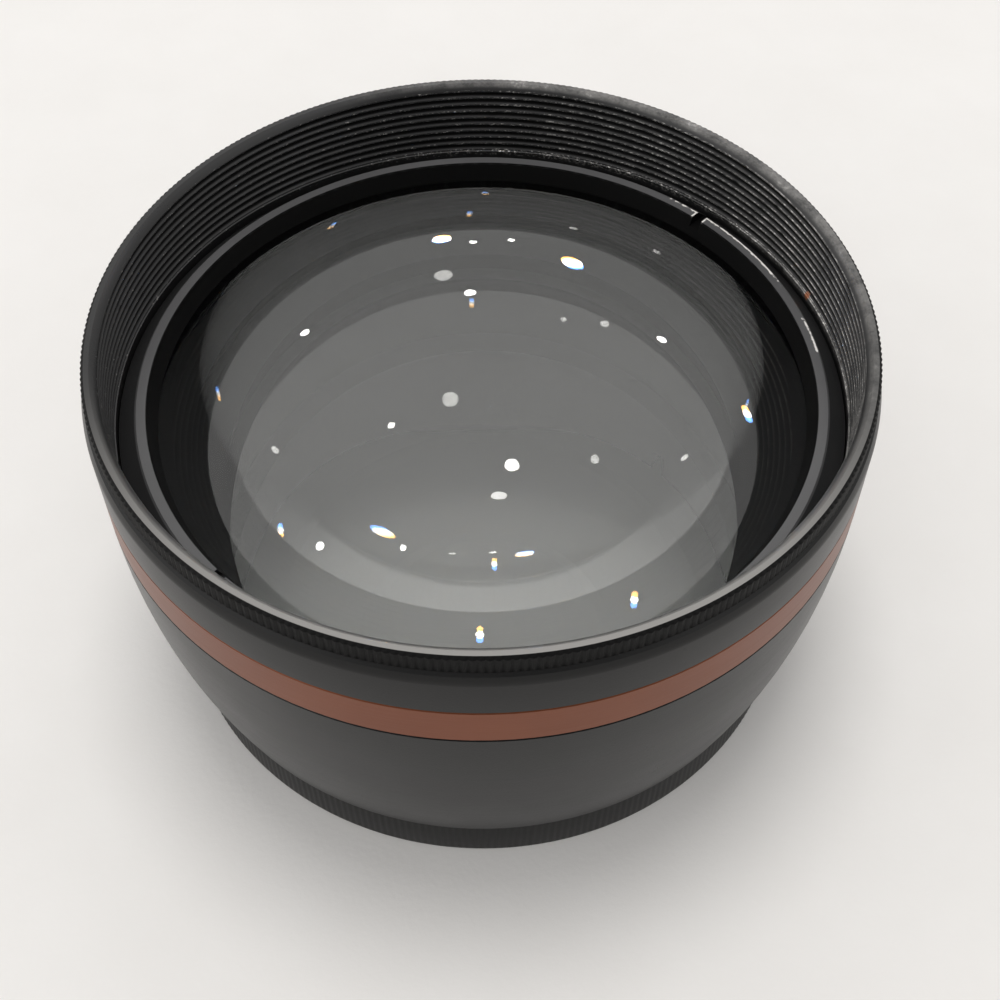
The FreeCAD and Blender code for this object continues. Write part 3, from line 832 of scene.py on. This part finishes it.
sky = Sky(world)
direction = sky.node("ShaderNodeTexCoord")("Generated")
east, north, height = sky.parts(direction)
overhead = height.between(0.2, 0.95)
level_reach = (east * east + north * north + 0.0001).maths("SQRT")
towards_viewer = (north * -1) / level_reach
viewer = towards_viewer.between(0.5, 0.95) * height.between(0.92, 0.72)
lengthwise = (towards_viewer * towards_viewer).between(0.3, 0.7)
left_side = (east * -0.9 - north * 0.45).between(0.1, 0.95)
mirrored_level = ((0.62 + overhead * 0.75 + left_side * 0.8) * (1 - viewer * 0.85)).maths("MINIMUM", 1.3)
plain_level = 0.46 + lengthwise * 0.45 + left_side * 0.45
rays = sky.node("ShaderNodeLightPath")
mirrored = rays("Is Glossy Ray").maths("MAXIMUM", rays("Is Transmission Ray"))
seen = rays("Is Camera Ray")
lighting = (1 - mirrored).maths("SUBTRACT", seen, clamp=True)
strength = plain_level * lighting + mirrored_level * mirrored + seen * 0.9
sky.plug(sky.surface.inputs["Color"], (1.0, 0.99, 0.975))
sky.plug(sky.surface.inputs["Strength"], strength)
print("world is a soft dome")

# %% Lamps
WHITE, WARM, COLD = (1.0, 0.98, 0.95), (1.0, 0.50, 0.10), (0.12, 0.35, 1.0)
LENS_MIDDLE = Vector((0, 0, 0.02))
SPARK_DISTANCE = 1.2
SPARK_POWER = 340


def lamp(name, place, size, power, tint=WHITE):
    """A round area lamp that looks at the lens."""
    data = bpy.data.lights.new(name, "AREA")
    data.shape = "DISK"
    data.size = size
    data.energy = power
    data.color = tint
    made = bpy.data.objects.new(name, data)
    made.location = place
    made.rotation_mode = "QUATERNION"
    made.rotation_quaternion = (LENS_MIDDLE - Vector(place)).to_track_quat("-Z", "Y")
    bpy.context.collection.objects.link(made)
    return made


overhead_lamp = lamp("overhead", (-0.01, 0.12, 1.0), 0.40, 3.4)
overhead_lamp.visible_glossy = False
overhead_lamp.visible_transmission = False
print("one lamp overhead")

# %% [markdown]
# ## Sparks in the glass
#
# Each spark is a small lamp far off, given by its bearing round the lens, its height above the horizon
# and its size. Some get a warm and a cold twin beside them, because real glass splits light into
# colours towards its edge, and a renderer with one refractive index doesn't.

# %% Sparks
SPARKS = [
    (-2, 35, 0.018), (-1, 18, 0.010), (4, 17, 0.009), (-31, 31, 0.015), (33, 33, 0.016),
    (-35, 62, 0.013), (21, 76, 0.026), (-100, 75, 0.012), (-89, 60, 0.017),
]
FRINGED = [
    (-5, 16, 0.036), (13, 22, 0.042), (-50, 27, 0.024), (53, 31, 0.024), (-177, 70, 0.022),
    (112, 60, 0.022), (165, 83, 0.016),
]


def towards(bearing, climb):
    """The direction at a bearing in degrees, clockwise from +Y seen from above, and at an elevation."""
    bearing, climb = math.radians(bearing), math.radians(climb)
    level = math.cos(climb)
    return Vector((math.sin(bearing) * level, math.cos(bearing) * level, math.sin(climb)))


def spark(name, way, size, tint=WHITE):
    """A small round lamp far off in a direction, which only mirrors and glass show."""
    place = way.normalized() * SPARK_DISTANCE
    made = lamp(name, place, size * 2, size * size * SPARK_POWER, tint=tint)
    made.visible_diffuse = False


for number, (bearing, climb, size) in enumerate(SPARKS):
    spark(f"spark_{number}", towards(bearing, climb), size)
for number, (bearing, climb, size) in enumerate(FRINGED):
    way = towards(bearing, climb)
    fringe = Vector((0, size * 0.8, 0))
    spark(f"fringed_{number}", way, size * 0.7)
    spark(f"fringed_{number}_warm", way + fringe, size * 0.6, WARM)
    spark(f"fringed_{number}_cold", way - fringe, size * 0.6, COLD)
print(len(SPARKS), "white sparks and", len(FRINGED), "with coloured fringes")

# %% [markdown]
# ## Finish
#
# The display transform is the plain one, so colours come out as they are written.

# %% Finish
bpy.context.scene.view_settings.view_transform = "Standard"
